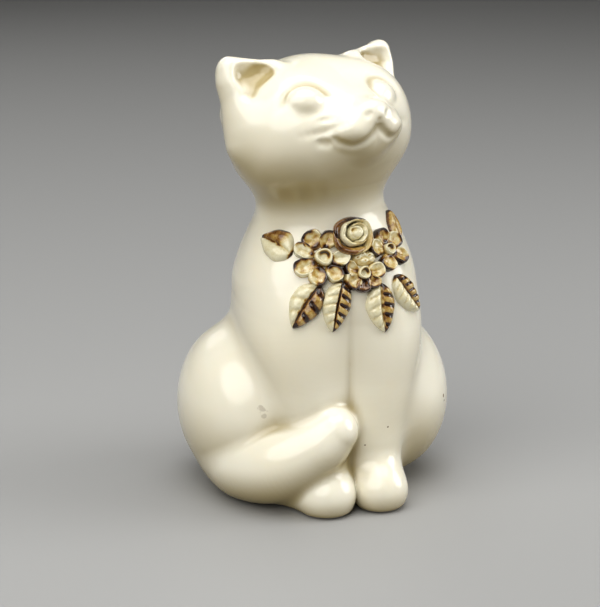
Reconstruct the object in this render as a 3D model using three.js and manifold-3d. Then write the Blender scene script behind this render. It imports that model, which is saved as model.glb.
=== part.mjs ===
// A seated ceramic cat with a collar of hand-made clay flowers and leaves.
// Millimetres, +Z up. The cat looks along -Y and stands on the plane z = 0.
// The body is one hollow slip-cast shell. Its skin is a blend of soft volumes, meshed by surface nets.
// Every petal, cup and leaf is a clay piece of its own, pressed onto that skin.

import * as THREE from 'three';
import { mergeVertices } from 'three/addons/utils/BufferGeometryUtils.js';
import Module from 'manifold-3d';

const wasm = await Module();
wasm.setup();

// ---------------------------------------------------------------- driving dimensions

const WALL = 4.5; // thickness of the cast wall
const FLOOR = 5; // thickness of the floor under the hollow
const POUR_HOLE = { x: 0, y: 16, radius: 11 }; // through the floor
const BASE_EDGE = 3; // rounding where the skin meets the base
const GAP = 0.45; // slip joint between the skin and an applied piece

const TORSO = { low: [0, 10, 42], lowRadius: 50, high: [1, 2, 100], highRadius: 40 };
const NECK = { low: [1, 2, 110], lowRadius: 35, high: [1, 1, 160], highRadius: 25, blend: 26 };
const SHOULDER = { centre: [20, -2, 122], radii: [19, 20, 18], blend: 14 };
const HAUNCH = { centre: [38, 10, 42], radii: [31.5, 42, 42], blend: 10 };
const FORELEG = {
  middle: 2,
  route: [[17, -14, 104], [18.5, -19, 84], [17.5, -25, 60], [15.5, -30, 38], [14.5, -33, 20]],
  radii: [23, 25, 20.5, 16, 14],
  blend: 14,
};
const PAW = { middle: [4, -1, 0], heel: [16, -10, 9], heelRadius: 13.5, toe: [13.5, -43, 9], toeRadius: 14 };
const HIND_FOOT = { heel: [-34, -14, 10], heelRadius: 12, toe: [-15, -42, 8], toeRadius: 8, blend: 8 };
const TAIL = {
  route: [
    [14, 34, 24], [0, 47, 16], [-20, 45, 15], [-37, 30, 15], [-44, 8, 16],
    [-41, -14, 18], [-30, -31, 23], [-16, -41, 33], [-7, -45, 42],
  ],
  radii: [10, 13, 15, 15, 16, 18.5, 19, 16, 12],
  blend: 4,
};
const HEAD = { centre: [-3, -1, 184], turn: 19, lift: 20, blend: 16 }; // degrees to its left and upwards

// Inside the head's own frame: x to its left, -y out of the nose, z up.
const SKULL = { centre: [0, 4, 0], radii: [42, 37, 35.5] };
const CHEEKS = { centre: [0, -5, -10], radii: [44, 34, 26], blend: 14 };
const TEMPLE = { centre: [22, -12, 4], radii: [19, 20, 20], blend: 14 };
const MUZZLE = { centre: [0, -27, -6], radii: [19, 22, 15], blend: 12 };
const WHISKER_PAD = { centre: [7.5, -43, -8.5], radii: [10, 8, 7.5], blend: 4 };
const CHIN = { centre: [0, -39, -16], radii: [8, 9, 6], blend: 4 };
const NOSE = { centre: [0, -49.5, -1.5], radii: [5, 4, 3], blend: 3 };
const EAR = {
  corners: [[45.5, -5, 32.5], [25, -9, 28], [40.5, -6.5, 4]],
  thickness: 4.5,
  root: [30, 8, 17],
  rootRadius: 14,
  tip: [43.5, 0, 31.5],
  tipRadius: 3.6,
  blend: 7,
  back: [[40.6, 1.4, -3], [44.3, -1, 24]],
  backRadii: [7.4, 5.4],
  backBlend: 9,
  hollow: [[41.2, -14.3, 27.2], [34.2, -14.9, 28.6], [43.2, -14.5, 18.8]],
  hollowRadius: 7.3,
  hollowNarrows: 3.3, // towards its lower end
};

// Where each ornament sits: degrees round the chest from straight ahead (positive to the cat's left),
// height of its middle, and the way it points, in degrees clockwise from straight up.
const CHEST_AXIS = { x: 1, y: 1 };
const LEAVES = [
  { name: 'leaf_upper_right', angle: -53, height: 130.5, turn: -66, length: 22, width: 15 },
  { name: 'leaf_upper_left', angle: 56, height: 136, turn: 24, length: 16, width: 8.4 },
  { name: 'leaf_lower_1', angle: -27, height: 105, turn: -148, length: 23, width: 14 },
  { name: 'leaf_lower_2', angle: -8, height: 104.2, turn: -165, length: 23, width: 14 },
  { name: 'leaf_lower_3', angle: 21.5, height: 101.8, turn: 178, length: 22.5, width: 14 },
  { name: 'leaf_lower_4', angle: 41.5, height: 105.5, turn: 149, length: 22, width: 13 },
];
const LEAF_RISE = 3;
// Each petal is the way it points, how far from the middle it reaches, and its width.
const FLOWERS = [
  {
    name: 'right_flower', angle: -15.9, height: 126.8, cup: 4.2, rise: 4.5,
    petals: [
      [-29, 15, 8.2], [-71, 15, 7.6], [-115, 15.4, 8.2], [-160, 13.8, 8.2], [150, 12.6, 7], [15, 13, 5.4],
      [93, 10.6, 5],
    ],
  },
  {
    name: 'middle_flower', angle: 11.5, height: 118.7, cup: 2.8, rise: 4,
    petals: [[-68, 9.2, 5.6], [-120, 8.8, 5.8], [-170, 8.4, 5.6], [136, 8.4, 5], [88, 9.6, 5.8]],
  },
  {
    name: 'left_flower', angle: 35.8, height: 126.8, cup: 2.6, rise: 4,
    petals: [[-72, 10.2, 6.8], [-8, 10.2, 6.6], [56, 9.6, 6.6], [125, 10.4, 6.8], [-155, 9.6, 6.8]],
  },
];
const PETAL_RISE = 3.2;
const BLOSSOM = { name: 'filler_blossom', angle: 14.5, height: 125.2, length: 4.6, width: 8.4, rise: 3 };
const ROSE = { angle: 7.5, height: 135.8, core: 2.8, inner: [3.3, 5.6], outer: [6, 9.2], rise: 7 };

// Mesh fineness
const SKIN_STEP = 5.6;
const HEAD_STEP = 4.9;
const HEAD_FROM = 150;
const HOLLOW_STEP = 11;

// ---------------------------------------------------------------- clay volumes as distance fields

// The lesser of two distances, with a soft fillet of width k where they meet.
function blend(a, b, k) {
  const h = Math.max(k - Math.abs(a - b), 0) / k;
  return Math.min(a, b) - (h * h * k) / 4;
}

// What is left of a when b is kept as well.
function keep(a, b, k) {
  return -blend(-a, -b, k);
}

function egg(p, centre, radii) {
  let near = 0;
  let far = 0;
  for (let k = 0; k < 3; k += 1) {
    const q = (p[k] - centre[k]) / radii[k];
    near += q * q;
    far += (q / radii[k]) ** 2;
  }
  const length = Math.sqrt(near);
  return (length * (length - 1)) / Math.max(Math.sqrt(far), 1e-9);
}

// A round bar from a to b whose radius runs from ra to rb.
function bar(p, a, b, ra, rb) {
  const d = [b[0] - a[0], b[1] - a[1], b[2] - a[2]];
  const w = [p[0] - a[0], p[1] - a[1], p[2] - a[2]];
  const along = (w[0] * d[0] + w[1] * d[1] + w[2] * d[2]) / (d[0] ** 2 + d[1] ** 2 + d[2] ** 2);
  const t = THREE.MathUtils.clamp(along, 0, 1);
  return Math.hypot(w[0] - t * d[0], w[1] - t * d[1], w[2] - t * d[2]) - (ra + (rb - ra) * t);
}

// Points and radii along a smooth route, ready for limb().
function smoothRoute(route, radii, steps = 4) {
  const centres = route.map((at) => new THREE.Vector3(...at));
  const sizes = radii.map((r) => new THREE.Vector3(r, 0, 0));
  const path = new THREE.CatmullRomCurve3(centres, false, 'catmullrom', 0.5);
  const swell = new THREE.CatmullRomCurve3(sizes, false, 'catmullrom', 0.5);
  const count = steps * (route.length - 1);
  return Array.from({ length: count + 1 }, (_, i) => ({
    at: path.getPoint(i / count).toArray(),
    radius: swell.getPoint(i / count).x,
  }));
}

function limb(p, joints) {
  let d = Infinity;
  for (let i = 1; i < joints.length; i += 1) {
    const [a, b] = [joints[i - 1], joints[i]];
    d = Math.min(d, bar(p, a.at, b.at, a.radius, b.radius));
  }
  return d;
}

// Distance to a thin triangular sheet.
function sheet(p, corners) {
  const triangle = new THREE.Triangle(...corners.map((c) => new THREE.Vector3(...c)));
  const point = new THREE.Vector3(...p);
  return triangle.closestPointToPoint(point, new THREE.Vector3()).distanceTo(point);
}

function mirrored(p, middle = 0) {
  return [Math.abs(p[0] - middle), p[1], p[2]];
}

const FORELEG_JOINTS = smoothRoute(FORELEG.route, FORELEG.radii);
const TAIL_JOINTS = smoothRoute(TAIL.route, TAIL.radii);
const HEAD_FRAME = new THREE.Matrix4()
  .makeRotationFromEuler(
    new THREE.Euler(THREE.MathUtils.degToRad(-HEAD.lift), 0, THREE.MathUtils.degToRad(HEAD.turn), 'ZXY'),
  )
  .setPosition(...HEAD.centre)
  .invert();

function ear(side) {
  let d = sheet(side, EAR.corners) - EAR.thickness;
  d = blend(d, bar(side, EAR.root, EAR.tip, EAR.rootRadius, EAR.tipRadius), EAR.blend);
  return blend(d, bar(side, EAR.back[0], EAR.back[1], EAR.backRadii[0], EAR.backRadii[1]), EAR.backBlend);
}

function head(p) {
  const q = new THREE.Vector3(...p).applyMatrix4(HEAD_FRAME).toArray();
  const side = mirrored(q);
  let d = egg(q, SKULL.centre, SKULL.radii);
  for (const lump of [CHEEKS, MUZZLE, CHIN]) d = blend(d, egg(q, lump.centre, lump.radii), lump.blend);
  for (const lump of [TEMPLE, WHISKER_PAD]) d = blend(d, egg(side, lump.centre, lump.radii), lump.blend);
  d = blend(d, ear(side), 7);
  const narrower = EAR.hollowNarrows * THREE.MathUtils.smoothstep(27 - side[2], 0, 9);
  d = keep(d, EAR.hollowRadius - narrower - sheet(side, EAR.hollow), 2.5);
  return blend(d, egg(q, NOSE.centre, NOSE.radii), NOSE.blend);
}

// Torso, neck and shoulders.
function trunk(p) {
  let d = bar(p, TORSO.low, TORSO.high, TORSO.lowRadius, TORSO.highRadius);
  d = blend(d, bar(p, NECK.low, NECK.high, NECK.lowRadius, NECK.highRadius), NECK.blend);
  d = blend(d, egg(p, SHOULDER.centre, SHOULDER.radii), SHOULDER.blend);
  return d;
}

function foreleg(p) {
  const leg = limb(mirrored(p, FORELEG.middle), FORELEG_JOINTS);
  const q = mirrored([p[0] - PAW.middle[0], p[1] - PAW.middle[1], p[2]]);
  return blend(leg, bar(q, PAW.heel, PAW.toe, PAW.heelRadius, PAW.toeRadius), 8);
}

// The outside of the whole cat: negative inside, zero on the skin.
function skin(p) {
  let d = blend(trunk(p), foreleg(p), FORELEG.blend);
  d = blend(d, egg(mirrored(p), HAUNCH.centre, HAUNCH.radii), HAUNCH.blend);
  const { heel, toe, heelRadius, toeRadius } = HIND_FOOT;
  d = blend(d, bar(p, heel, toe, heelRadius, toeRadius), HIND_FOOT.blend);
  d = blend(d, limb(p, TAIL_JOINTS), TAIL.blend);
  d = blend(d, head(p), HEAD.blend);
  return keep(d, -p[2], BASE_EDGE);
}

// The hollow left when the spare slip is poured out. Ears, paws and tail fill up solid.
function hollow(p) {
  const q = new THREE.Vector3(...p).applyMatrix4(HEAD_FRAME).toArray();
  let d = blend(trunk(p), limb(mirrored(p, FORELEG.middle), FORELEG_JOINTS), FORELEG.blend);
  d = blend(d, egg(mirrored(p), HAUNCH.centre, HAUNCH.radii), HAUNCH.blend);
  d = blend(d, egg(q, SKULL.centre, SKULL.radii), HEAD.blend);
  return keep(d + WALL, FLOOR - p[2], BASE_EDGE);
}

function slope(field, p, step = 0.05) {
  const g = [0, 0, 0];
  for (let k = 0; k < 3; k += 1) {
    const [a, b] = [[...p], [...p]];
    a[k] -= step;
    b[k] += step;
    g[k] = (field(b) - field(a)) / (2 * step);
  }
  return g;
}

// Moves a point onto the field's zero surface. Returns it with the outward normal there.
function settle(field, start, rounds = 3, reach = Infinity) {
  let p = [...start];
  for (let i = 0; i < rounds; i += 1) {
    const g = slope(field, p);
    const steep = Math.max(g[0] ** 2 + g[1] ** 2 + g[2] ** 2, 0.05);
    const move = g.map((c) => (c * field(p)) / steep);
    const scale = Math.min(1, reach / Math.max(Math.hypot(...move), 1e-9));
    p = p.map((c, k) => c - move[k] * scale);
  }
  return { at: new THREE.Vector3(...p), normal: new THREE.Vector3(...slope(field, p)).normalize() };
}

// ---------------------------------------------------------------- surface nets

function ticks(from, to, step) {
  const count = Math.ceil((to - from) / step);
  return Array.from({ length: count + 1 }, (_, i) => from + ((to - from) * i) / count);
}

// A closed quad mesh of the field's zero surface: one vertex in each grid cell that it crosses.
function surfaceNet(field, xs, ys, zs) {
  const axes = [xs, ys, zs];
  const size = axes.map((axis) => axis.length);
  const key = (i, j, k) => (i * size[1] + j) * size[2] + k;
  const value = new Float64Array(size[0] * size[1] * size[2]);
  xs.forEach((x, i) => ys.forEach((y, j) => zs.forEach((z, k) => {
    value[key(i, j, k)] = field([x, y, z]);
  })));
  const positions = [];
  const vertexOf = new Map();
  const vertexIn = (cell) => {
    const id = key(...cell);
    if (!vertexOf.has(id)) {
      vertexOf.set(id, positions.length / 3);
      positions.push(...cellPoint(cell));
    }
    return vertexOf.get(id);
  };
  function cellPoint(cell) {
    const sum = [0, 0, 0];
    let hits = 0;
    for (let axis = 0; axis < 3; axis += 1) {
      const [m, n] = [(axis + 1) % 3, (axis + 2) % 3];
      for (let corner = 0; corner < 4; corner += 1) {
        const a = [...cell];
        a[m] += corner & 1;
        a[n] += corner >> 1;
        const b = [...a];
        b[axis] += 1;
        const [fa, fb] = [value[key(...a)], value[key(...b)]];
        if (fa < 0 === fb < 0) continue;
        const t = fa / (fa - fb);
        for (let k = 0; k < 3; k += 1) sum[k] += axes[k][a[k]] * (1 - t) + axes[k][b[k]] * t;
        hits += 1;
      }
    }
    const middle = sum.map((s) => s / hits);
    return settle(field, middle, 3, 2).at.toArray();
  }
  const faces = [];
  for (let axis = 0; axis < 3; axis += 1) {
    const [m, n] = [(axis + 1) % 3, (axis + 2) % 3];
    const at = [0, 0, 0];
    for (at[axis] = 0; at[axis] < size[axis] - 1; at[axis] += 1) {
      for (at[m] = 1; at[m] < size[m] - 1; at[m] += 1) {
        for (at[n] = 1; at[n] < size[n] - 1; at[n] += 1) {
          const next = [...at];
          next[axis] += 1;
          const inside = value[key(...at)] < 0;
          if (inside === value[key(...next)] < 0) continue;
          const quad = [[1, 1], [0, 1], [0, 0], [1, 0]].map(([dm, dn]) => {
            const cell = [...at];
            cell[m] -= dm;
            cell[n] -= dn;
            return vertexIn(cell);
          });
          if (!inside) quad.reverse();
          faces.push(quad[0], quad[1], quad[2], quad[0], quad[2], quad[3]);
        }
      }
    }
  }
  const net = new THREE.BufferGeometry();
  net.setAttribute('position', new THREE.Float32BufferAttribute(positions, 3));
  net.setIndex(faces);
  return net;
}

// ---------------------------------------------------------------- solids that cut each other

// Only positions, with shared vertices merged.
function bare(geometry) {
  const copy = geometry.clone();
  for (const name of ['normal', 'uv']) copy.deleteAttribute(name);
  return mergeVertices(copy, 1e-4);
}

function solid(geometry) {
  const closed = bare(geometry);
  return new wasm.Manifold(new wasm.Mesh({
    numProp: 3,
    vertProperties: new Float32Array(closed.attributes.position.array),
    triVerts: new Uint32Array(closed.index.array),
  }));
}

function geometryOf(manifold) {
  const mesh = manifold.getMesh();
  const geometry = new THREE.BufferGeometry();
  geometry.setAttribute('position', new THREE.BufferAttribute(new Float32Array(mesh.vertProperties), 3));
  geometry.setIndex(new THREE.BufferAttribute(new Uint32Array(mesh.triVerts), 1));
  return geometry;
}

function bodyShell() {
  const heights = [...ticks(-SKIN_STEP / 2, HEAD_FROM, SKIN_STEP), ...ticks(HEAD_FROM, 228, HEAD_STEP).slice(1)];
  const outside = surfaceNet(skin, ticks(-75, 75, SKIN_STEP), ticks(-64, 70, SKIN_STEP), heights);
  const inside = surfaceNet(
    hollow,
    ticks(-75, 75, HOLLOW_STEP),
    ticks(-64, 70, HOLLOW_STEP),
    ticks(FLOOR - HOLLOW_STEP / 2, 222, HOLLOW_STEP),
  );
  const hole = new THREE.CylinderGeometry(POUR_HOLE.radius, POUR_HOLE.radius, 4 * FLOOR, 32)
    .rotateX(Math.PI / 2)
    .translate(POUR_HOLE.x, POUR_HOLE.y, 0);
  return geometryOf(solid(outside).subtract(solid(inside)).subtract(solid(hole)));
}

// ---------------------------------------------------------------- clay pieces pressed onto the skin

// The frame of an ornament: its middle on the skin, which way is up there, and which way is across.
function seat({ angle, height }) {
  const turn = THREE.MathUtils.degToRad(angle);
  const outward = new THREE.Vector3(Math.sin(turn), -Math.cos(turn), 0);
  const p = new THREE.Vector3(CHEST_AXIS.x, CHEST_AXIS.y, height).addScaledVector(outward, 80);
  for (let i = 0; i < 60; i += 1) p.addScaledVector(outward, -0.8 * skin(p.toArray()));
  const { at, normal } = settle(skin, p.toArray());
  const across = new THREE.Vector3(0, 0, 1).cross(normal).normalize();
  return { at, across, up: normal.clone().cross(across) };
}

// The same frame turned clockwise in its own plane.
function turned(frame, degrees) {
  const t = THREE.MathUtils.degToRad(degrees);
  return {
    at: frame.at,
    across: frame.across.clone().multiplyScalar(Math.cos(t)).addScaledVector(frame.up, -Math.sin(t)),
    up: frame.up.clone().multiplyScalar(Math.cos(t)).addScaledVector(frame.across, Math.sin(t)),
  };
}

// Lays a flat-bottomed geometry (x across, y up, z off the skin) onto the skin.
function press(frame, geometry) {
  const laid = bare(geometry);
  const position = laid.attributes.position;
  for (let i = 0; i < position.count; i += 1) {
    const flat = frame.at.clone()
      .addScaledVector(frame.across, position.getX(i))
      .addScaledVector(frame.up, position.getY(i));
    const { at, normal } = settle(skin, flat.toArray());
    at.addScaledVector(normal, GAP + position.getZ(i));
    position.setXYZ(i, at.x, at.y, at.z);
  }
  return laid;
}

// A ball of clay pressed flat: form(x, y, dome) places each point of a unit ball.
function pat(form, around = 14, rings = 8) {
  const ball = bare(new THREE.SphereGeometry(1, around, rings).rotateX(Math.PI / 2));
  const position = ball.attributes.position;
  for (let i = 0; i < position.count; i += 1) {
    const dome = Math.max(position.getZ(i), 0) ** 0.6;
    position.setXYZ(i, ...form(position.getX(i), position.getY(i), dome));
  }
  return ball;
}

// Broad at the stem end, with a pointed tip, and a crease along the midrib.
function leafShape({ length, width }) {
  return pat((x, y, dome) => {
    const taper = (1 - 0.3 * y) * Math.max(1 - y * y, 0) ** 0.25;
    const crease = 1 - 0.35 * Math.exp(-((x / 0.25) ** 2));
    return [(x * taper * width) / 2, (y * length) / 2, dome * crease * LEAF_RISE];
  }, 16, 8);
}

// A petal that starts beside the cup and widens outwards, cupped along its middle.
function petalShape(cup, reach, width) {
  const start = cup + GAP;
  const half = (reach - start) / 2;
  return pat((x, y, dome) => {
    const flare = 0.86 + 0.14 * y;
    const dip = 1 - 0.3 * Math.exp(-(x * x + y * y) / 0.3);
    return [(x * flare * width) / 2, start + half * (1 + y), dome * dip * PETAL_RISE];
  }, 12, 6);
}

// The raised cup in the middle of a flower, with a dimple in its top.
function cupShape({ cup, rise }) {
  const profile = [[0, 0], [cup, 0], [cup, 0.6], [0.8, 1], [0.45, 0.8], [0, 0.5]];
  const points = profile.map(([r, h], i) => new THREE.Vector2(i === 1 || i === 2 ? r : r * cup, h * rise));
  return new THREE.LatheGeometry(points, 14).rotateX(Math.PI / 2);
}

// A petal wrapped round the rose, as a bent pat of clay.
function wrapShape([inner, outer], from, to, rise) {
  const middle = (inner + outer) / 2;
  return pat((x, y, dome) => {
    const angle = THREE.MathUtils.degToRad((from + to) / 2 - ((to - from) / 2) * y);
    const radius = middle + ((outer - inner) / 2) * x;
    return [radius * Math.sin(angle), radius * Math.cos(angle), dome * rise];
  }, 16, 6);
}

// ---------------------------------------------------------------- glazes and assembly

const ivoryGlaze = () => new THREE.MeshStandardMaterial({ color: 0xe9e2cb, roughness: 0.12 });
const brownGlaze = () => new THREE.MeshStandardMaterial({ color: 0x7a5320, roughness: 0.18 });
const cupGlaze = () => new THREE.MeshStandardMaterial({ color: 0xb8a878, roughness: 0.15 });

const cat = new THREE.Group();

function add(name, geometry, material) {
  const mesh = new THREE.Mesh(geometry, material);
  mesh.name = name;
  cat.add(mesh);
}

add('body_shell', bodyShell(), ivoryGlaze());

for (const leaf of LEAVES) {
  add(leaf.name, press(turned(seat(leaf), leaf.turn), leafShape(leaf)), brownGlaze());
}

for (const flower of FLOWERS) {
  const middle = seat(flower);
  add(`${flower.name}_cup`, press(middle, cupShape(flower)), cupGlaze());
  flower.petals.forEach(([turn, reach, width], i) => {
    const petal = petalShape(flower.cup, reach, width);
    add(`${flower.name}_petal_${i + 1}`, press(turned(middle, turn), petal), brownGlaze());
  });
}

add(BLOSSOM.name, press(seat(BLOSSOM), pat((x, y, dome) => [
  (x * BLOSSOM.width) / 2,
  (y * BLOSSOM.length) / 2,
  dome * BLOSSOM.rise,
])), cupGlaze());

const roseSeat = seat(ROSE);
add('rose_core', press(roseSeat, cupShape({ cup: ROSE.core, rise: ROSE.rise })), cupGlaze());
[[5, 175], [185, 355]].forEach(([from, to], i) => {
  const petal = wrapShape(ROSE.inner, from, to, ROSE.rise);
  add(`rose_inner_petal_${i + 1}`, press(roseSeat, petal), cupGlaze());
});
[[-65, 50], [55, 170], [175, 290]].forEach(([from, to], i) => {
  const petal = wrapShape(ROSE.outer, from, to, ROSE.rise - 1);
  add(`rose_outer_petal_${i + 1}`, press(roseSeat, petal), brownGlaze());
});

export default cat;
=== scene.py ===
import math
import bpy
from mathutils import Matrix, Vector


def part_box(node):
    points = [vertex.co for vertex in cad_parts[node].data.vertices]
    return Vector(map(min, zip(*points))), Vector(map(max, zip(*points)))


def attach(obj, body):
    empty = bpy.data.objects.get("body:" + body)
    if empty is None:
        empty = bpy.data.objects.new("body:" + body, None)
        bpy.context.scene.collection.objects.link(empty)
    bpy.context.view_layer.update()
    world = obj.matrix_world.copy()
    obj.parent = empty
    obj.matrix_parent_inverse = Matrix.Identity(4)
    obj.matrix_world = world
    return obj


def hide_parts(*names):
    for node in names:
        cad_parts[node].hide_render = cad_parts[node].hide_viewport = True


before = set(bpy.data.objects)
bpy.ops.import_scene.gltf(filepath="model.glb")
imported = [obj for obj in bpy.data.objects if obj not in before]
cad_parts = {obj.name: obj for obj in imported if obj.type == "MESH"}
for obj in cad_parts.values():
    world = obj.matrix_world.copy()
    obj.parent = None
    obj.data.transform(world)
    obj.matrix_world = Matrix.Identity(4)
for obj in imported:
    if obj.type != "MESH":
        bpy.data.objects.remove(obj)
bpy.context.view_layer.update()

# A seated ceramic cat, glazed ivory, with a collar of hand-made clay flowers and leaves brushed with
# brown iron glaze. The body is meshed again from the same soft volumes as the CAD shell, far finer and
# with the face cut in. It isn't the hollow shell: inside it is solid, except for a chamber behind the
# pour hole. Each flower and leaf is modelled flat and pressed onto that skin.
# Shapes are worked out in millimetres, in the frame's axes, and MM turns them into metres.

from concurrent.futures import ThreadPoolExecutor

import bpy
import numpy as np
from mathutils import Vector

MM = 0.001
FAR = 1e3

# ---------------------------------------------------------------- camera

CAMERA_AIM = Vector((-10.4, -1.5, 94.7)) * MM
CAMERA_AZIMUTH, CAMERA_ELEVATION = math.radians(-18), math.radians(15)
CAMERA_PIVOT = Vector((0, 0, 112)) * MM  # the camera stands at its distance from here
CAMERA_DISTANCE = 0.98
CAMERA_LENS = 117
CAMERA_SENSOR = 36


def make_camera():
    data = bpy.data.cameras.new("camera")
    data.lens = CAMERA_LENS
    data.sensor_width = CAMERA_SENSOR
    data.clip_start, data.clip_end = 0.05, 20
    camera = bpy.data.objects.new("camera", data)
    bpy.context.scene.collection.objects.link(camera)
    az, el = CAMERA_AZIMUTH, CAMERA_ELEVATION
    back = Vector((math.sin(az) * math.cos(el), -math.cos(az) * math.cos(el), math.sin(el)))
    camera.location = CAMERA_PIVOT + back * CAMERA_DISTANCE
    camera.rotation_mode = "QUATERNION"
    camera.rotation_quaternion = (CAMERA_AIM - camera.location).to_track_quat("-Z", "Y")
    bpy.context.scene.camera = camera


# ---------------------------------------------------------------- soft volumes as distance fields

def blend(a, b, width):
    """The lesser of two distances, with a soft fillet where they meet."""
    h = np.maximum(width - np.abs(a - b), 0) / width
    return np.minimum(a, b) - h * h * width / 4


def keep(a, b, width):
    """What is left of a when b is kept as well."""
    return -blend(-a, -b, width)


def egg(p, centre, radii):
    """About the distance to an egg with the given radii along each axis."""
    q = (p - centre) / radii
    length = np.linalg.norm(q, axis=1)
    return length * (length - 1) / np.maximum(np.linalg.norm(q / radii, axis=1), 1e-9)


def bar(p, a, b, ra, rb):
    """A round bar from a to b whose radius runs from ra to rb."""
    a, d = np.array(a, float), np.subtract(b, a)
    t = np.clip((p - a) @ d / (d @ d), 0, 1)
    return np.linalg.norm(p - a - t[:, None] * d, axis=1) - (ra + (rb - ra) * t)


def smooth_route(points, steps=6):
    """Points along a smooth curve through the given ones. Any number of values each."""
    p = np.array(points, float)
    p = np.vstack([2 * p[0] - p[1], p, 2 * p[-1] - p[-2]])
    t = (np.arange(steps) / steps)[:, None]
    out = []
    for a, b, c, d in zip(p, p[1:], p[2:], p[3:]):
        bend, twist = 2 * a - 5 * b + 4 * c - d, 3 * b - a - 3 * c + d
        out.append(0.5 * (2 * b + (c - a) * t + bend * t**2 + twist * t**3))
    return np.vstack(out + [p[-2:-1]])


def limb(p, route):
    """A round limb along rows of x, y, z, radius."""
    return np.min([bar(p, a[:3], b[:3], a[3], b[3]) for a, b in zip(route, route[1:])], axis=0)


def sheet(p, a, b, c):
    """Distance to a thin triangular sheet."""
    a, b, c = (np.array(v, float) for v in (a, b, c))
    normal = np.cross(b - a, c - a)
    inside = np.ones(len(p), bool)
    edges = np.full(len(p), FAR)
    for u, v in ((a, b), (b, c), (c, a)):
        inside &= (p - u) @ np.cross(normal, v - u) > 0
        edges = np.minimum(edges, bar(p, u, v, 0, 0))
    flat = np.abs((p - a) @ normal) / np.linalg.norm(normal)
    return np.where(inside, flat, edges)


def step_up(value, low, high):
    """A smooth step from 0 at low to 1 at high."""
    t = np.clip((value - low) / (high - low), 0, 1)
    return t * t * (3 - 2 * t)


def bell(value, width):
    """A smooth hump, 1 where the value is 0."""
    return np.exp(-((value / width) ** 2))


def mirrored(p, middle=0.0):
    """Points folded over to the positive side of x = middle, so that one volume serves for two."""
    q = p.copy()
    q[:, 0] = np.abs(q[:, 0] - middle)
    return q


def where_near(p, low, high, volume):
    """The volume's distance inside a box that holds it with room to spare, and FAR outside it."""
    d = np.full(len(p), FAR)
    near = ((p > low) & (p < high)).all(axis=1)
    if near.any():
        d[near] = volume(p[near])
    return d


# ---------------------------------------------------------------- the cat

# Bars are given as their two ends and the radius at each, and eggs as their centre and radii. A blend
# is how wide a volume blends into what it joins.
TORSO = ((0, 10, 42), (1, 2, 100), 50, 40)
NECK, NECK_BLEND = ((1, 2, 110), (1, 1, 160), 35, 25), 26
SHOULDER, SHOULDER_BLEND = ((20, -2, 122), (19, 20, 18)), 14
HAUNCH = ((38, 10, 42), (31.5, 42, 42))
# Limbs are given as rows of x, y, z and radius.
LIMB_STEPS = 12  # bars between one row of a limb and the next
FORELEG = smooth_route([
    (17, -14, 104, 23),
    (18.5, -19, 84, 25),
    (17.5, -25, 60, 20.5),
    (15.5, -30, 38, 16),
    (14.5, -33, 20, 14),
], LIMB_STEPS)
FORELEG_MIDDLE = 2
PAW, PAW_BLEND = ((16, -10, 9), (13.5, -43, 9), 13.5, 14), 8
PAW_MIDDLE = (4, -1, 0)
HIND_FOOT = ((-34, -14, 10), (-15, -42, 8), 12, 8)
TAIL = smooth_route([
    (14, 34, 24, 10),
    (0, 47, 16, 13),
    (-20, 45, 15, 15),
    (-37, 30, 15, 15),
    (-44, 8, 16, 16),
    (-41, -14, 18, 18.5),
    (-30, -31, 23, 19),
    (-16, -41, 33, 16),
    (-7, -45, 42, 12),
], LIMB_STEPS)
BASE_EDGE = 3  # rounding of the edge round the foot
POUR_HOLE = ((0, 16, -20), (0, 16, 14), 11, 11)
CHAMBER = ((0, 12, 38), (36, 30, 32))
HOLE_BLEND, HOLE_RIM = 2, 1.5  # where the hole meets the chamber, and the rounding of its rim

HEAD_CENTRE = np.array((-3.0, -1.0, 184.0))
HEAD_TURN, HEAD_LIFT = math.radians(19), math.radians(20)
# Eggs of the head in its own axes.
SKULL = ((0, 4, 0), (42, 37, 35.5))
CHEEKS, CHEEKS_BLEND = ((0, -5, -10), (44, 34, 26)), 14
TEMPLE, TEMPLE_BLEND = ((22, -12, 4), (19, 20, 20)), 14
MUZZLE, MUZZLE_BLEND = ((0, -27, -6), (19, 22, 15)), 12
WHISKER_PAD, WHISKER_PAD_BLEND = ((8.2, -41, -9), (10.5, 9, 8)), 5
CHIN, CHIN_BLEND = ((0, -35.5, -15.5), (9, 8, 6.5)), 6
NOSE, NOSE_BLEND = ((0, -47.5, -2.6), (6.6, 4.6, 4.6)), 7
# An ear is a thick triangular sheet, filled out at its root and down its back, with a hollow cut in.
EAR = ((45.5, -5, 32.5), (25, -9, 28), (40.5, -6.5, 4))
EAR_THICKNESS = 4.5
EAR_ROOT, EAR_ROOT_BLEND = ((30, 8, 17), (43.5, 0, 31.5), 14, 3.6), 7
EAR_BACK, EAR_BACK_BLEND = ((40.6, 1.4, -3), (44.3, -1, 24), 7.4, 5.4), 9
EAR_HOLLOW = ((41.2, -14.3, 27.2), (34.2, -14.9, 28.6), (43.2, -14.5, 18.8))
EAR_HOLLOW_RADIUS = 7.3
EAR_HOLLOW_NARROWS = 3.3  # how much less the radius is at the lower end
EAR_HOLLOW_TOP = 27
EAR_HOLLOW_TAPER = 9
EAR_HOLLOW_RIM = 2.5  # rounding of the edge round it


def head_axes():
    """Columns: the head's own x to its left, y to the back of the skull, and z up."""
    ct, st, cl, sl = math.cos(HEAD_TURN), math.sin(HEAD_TURN), math.cos(HEAD_LIFT), math.sin(HEAD_LIFT)
    turn = np.array(((ct, -st, 0), (st, ct, 0), (0, 0, 1)))
    lift = np.array(((1, 0, 0), (0, cl, sl), (0, -sl, cl)))
    return turn @ lift


HEAD_AXES = head_axes()

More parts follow.
